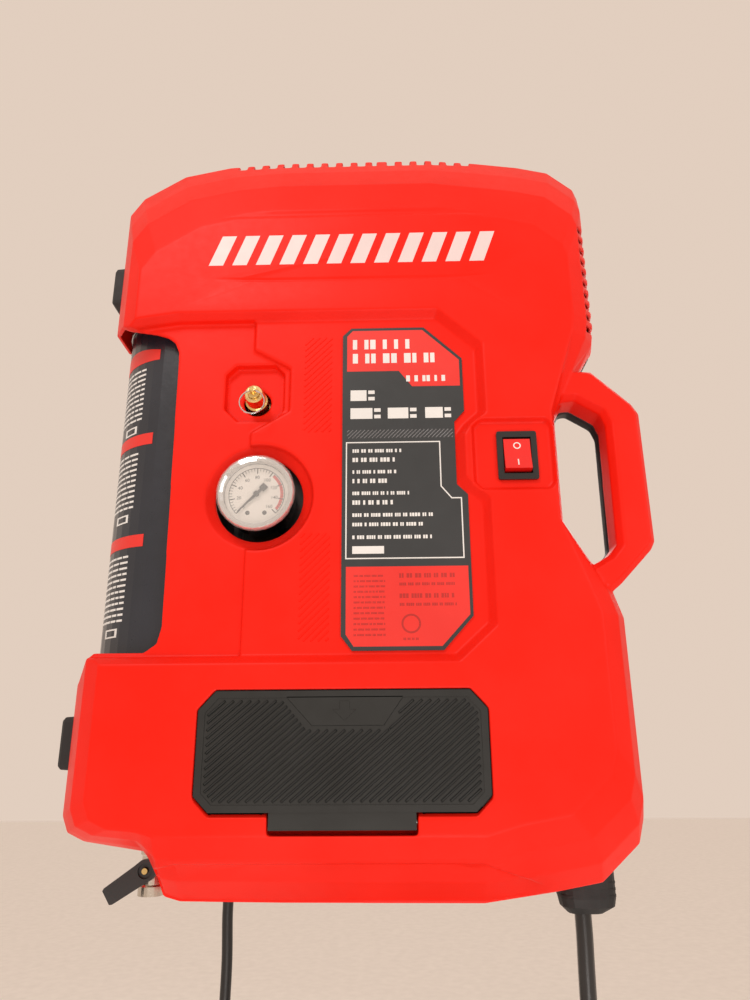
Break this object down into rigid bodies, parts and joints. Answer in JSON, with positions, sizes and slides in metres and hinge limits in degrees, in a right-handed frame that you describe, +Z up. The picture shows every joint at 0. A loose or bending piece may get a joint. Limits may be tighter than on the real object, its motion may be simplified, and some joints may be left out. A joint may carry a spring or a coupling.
{
  "type": "wall mounted air compressor",
  "caption": "Wall-mounted oil-free air compressor: moulded housing, side handle, exposed tank, gauge, relief valve, rocker switch, storage door, drain valve, hose and cord.",
  "frame": {"origin": "Centre of the wall bracket's back face, the plane that lies on the wall.", "axes": "+X to the right seen from the front, +Y into the wall, +Z up."},
  "size_m": [0.3886, 0.203, 0.832],
  "materials": {
    "red_plastic": "satin, finely textured moulded plastic",
    "black_plastic": "satin moulded plastic",
    "rubber": "matt black rubber",
    "charcoal_plastic": "satin moulded plastic, ribbed",
    "label_film": null,
    "steel": "bright steel",
    "grey_steel": "light grey painted steel",
    "aluminium": "die cast",
    "brass": "turned brass",
    "nickel": "nickel plated brass",
    "copper": "drawn copper pipe",
    "dial_white": "printed dial",
    "clear_lens": "clear lens",
    "tank_paint": "blue-black paint"
  },
  "bodies": {
    "bracket": {"wall_bracket": "grey_steel", "bracket_screw_left": "steel", "bracket_screw_right": "steel"},
    "housing": {"front_shell": "red_plastic", "rear_shell": "black_plastic", "side_foot_front_top": "rubber", "side_foot_front_bottom": "rubber", "side_foot_rear_top": "rubber", "side_foot_rear_bottom": "rubber", "wall_bumper": "rubber", "storage_bin": "black_plastic", "door_hinge_pin": "steel", "rating_label": "label_film", "switch_housing": "black_plastic", "gauge_case": "steel", "gauge_dial": "dial_white", "gauge_lens": "clear_lens", "manifold_block": "brass", "relief_valve_body": "brass", "air_tank": "tank_paint", "tank_strap_top": "steel", "tank_strap_bottom": "steel", "check_valve": "brass", "drain_valve_body": "nickel", "motor_stator": "steel", "motor_frame": "aluminium", "bearing_front": "steel", "bearing_rear": "steel", "motor_mount_lower": "rubber", "motor_mount_upper": "rubber", "connecting_rod": "aluminium", "pump_cylinder": "aluminium", "valve_plate": "steel", "cylinder_head": "aluminium", "intake_filter": "black_plastic", "discharge_pipe": "copper", "pressure_switch": "black_plastic", "supply_hose": "rubber", "hose_boot": "rubber", "air_hose": "rubber", "hose_coil": "rubber", "coupler_body": "brass", "cord_gland": "black_plastic", "power_cord": "rubber", "cord_coil": "rubber", "plug_body": "black_plastic", "plug_blade_left": "brass", "plug_blade_right": "brass", "plug_ground_pin": "brass"},
    "door": {"access_door": "charcoal_plastic"},
    "rocker": {"switch_rocker": "red_plastic"},
    "pointer": {"gauge_pointer": "black_plastic"},
    "relief_pin": {"relief_pin": "brass"},
    "relief_ring": {"relief_ring": "steel"},
    "drain_lever": {"drain_valve_ball": "brass", "drain_valve_lever": "black_plastic"},
    "crankshaft": {"motor_rotor": "steel", "cooling_fan": "black_plastic", "eccentric": "steel"},
    "sleeve": {"coupler_sleeve": "nickel"}
  },
  "joints": [
    {"name": "lift_off", "type": "slide", "parent": "bracket", "child": "housing", "axis": [0, 0, 1], "range_m": [0, 0.025]},
    {"name": "door_hinge", "type": "hinge", "parent": "housing", "child": "door", "pos_m": [-0.003, -0.1905, -0.3285], "axis": [1, 0, 0], "range_deg": [0, 95]},
    {"name": "switch_rock", "type": "hinge", "parent": "housing", "child": "rocker", "pos_m": [0.1117, -0.1865, -0.104], "axis": [1, 0, 0], "range_deg": [0, 14]},
    {"name": "gauge_needle", "type": "hinge", "parent": "housing", "child": "pointer", "pos_m": [-0.061, -0.193, -0.129], "axis": [0, 1, 0], "range_deg": [0, 270], "stiffness_Nm_per_rad": 0.002, "springref_deg": -11.46},
    {"name": "relief_pull", "type": "slide", "parent": "housing", "child": "relief_pin", "axis": [0, -1, 0], "range_m": [0, 0.004], "stiffness_N_per_m": 800, "springref_m": -0.001},
    {"name": "relief_ring_swing", "type": "hinge", "parent": "relief_pin", "child": "relief_ring", "pos_m": [-0.0655, -0.2004, -0.0575], "axis": [-1, 0, 0], "range_deg": [-5, 100]},
    {"name": "drain_turn", "type": "hinge", "parent": "housing", "child": "drain_lever", "pos_m": [-0.1285, -0.145, -0.36], "axis": [0, 1, 0], "range_deg": [-57, 33]},
    {"name": "motor_shaft", "type": "hinge", "parent": "housing", "child": "crankshaft", "pos_m": [-0.022, -0.098, 0.023], "axis": [1, 0, 0], "continuous": true},
    {"name": "coupler_release", "type": "slide", "parent": "housing", "child": "sleeve", "axis": [0, 0, 1], "range_m": [0, 0.006], "stiffness_N_per_m": 500, "springref_m": -0.002}
  ]
}
